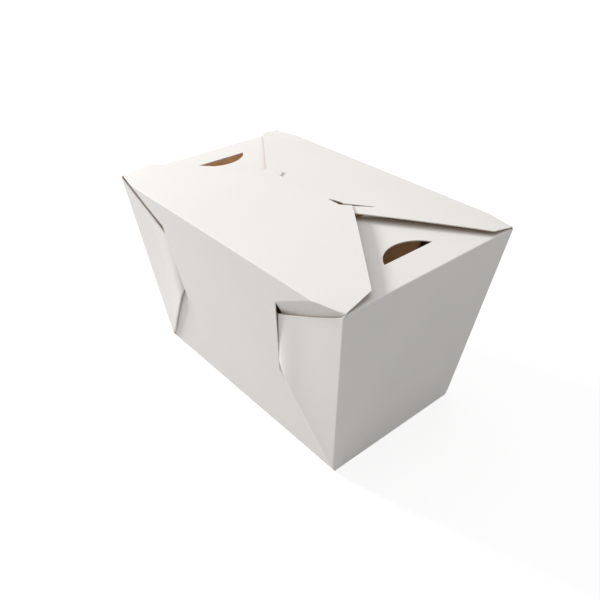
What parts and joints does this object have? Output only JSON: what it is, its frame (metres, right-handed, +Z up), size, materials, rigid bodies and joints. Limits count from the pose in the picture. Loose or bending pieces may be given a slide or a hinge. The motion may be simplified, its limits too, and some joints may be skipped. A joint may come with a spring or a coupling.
{
  "type": "takeout food box",
  "caption": "Folded card takeout box with sloping walls, tucked corner ears, vented end flaps and a tongue-locked hinged front flap.",
  "frame": {"origin": "middle of the base, on the surface that the box stands on", "axes": "+X along the box, the front long wall with the hinged flap faces -Y, +Z up"},
  "size_m": [0.1554, 0.102, 0.0987],
  "materials": {
    "card_body": "coated white card, matte",
    "card_flap": "coated white card, matte"
  },
  "bodies": {
    "box": {"box_body": "card_body"},
    "front_lid": {"front_flap": "card_flap"}
  },
  "joints": [
    {"name": "front_flap_fold", "type": "hinge", "parent": "box", "child": "front_lid", "pos_m": [0, -0.051, 0.095], "axis": [1, 0, 0], "range_deg": [0, 180]}
  ]
}
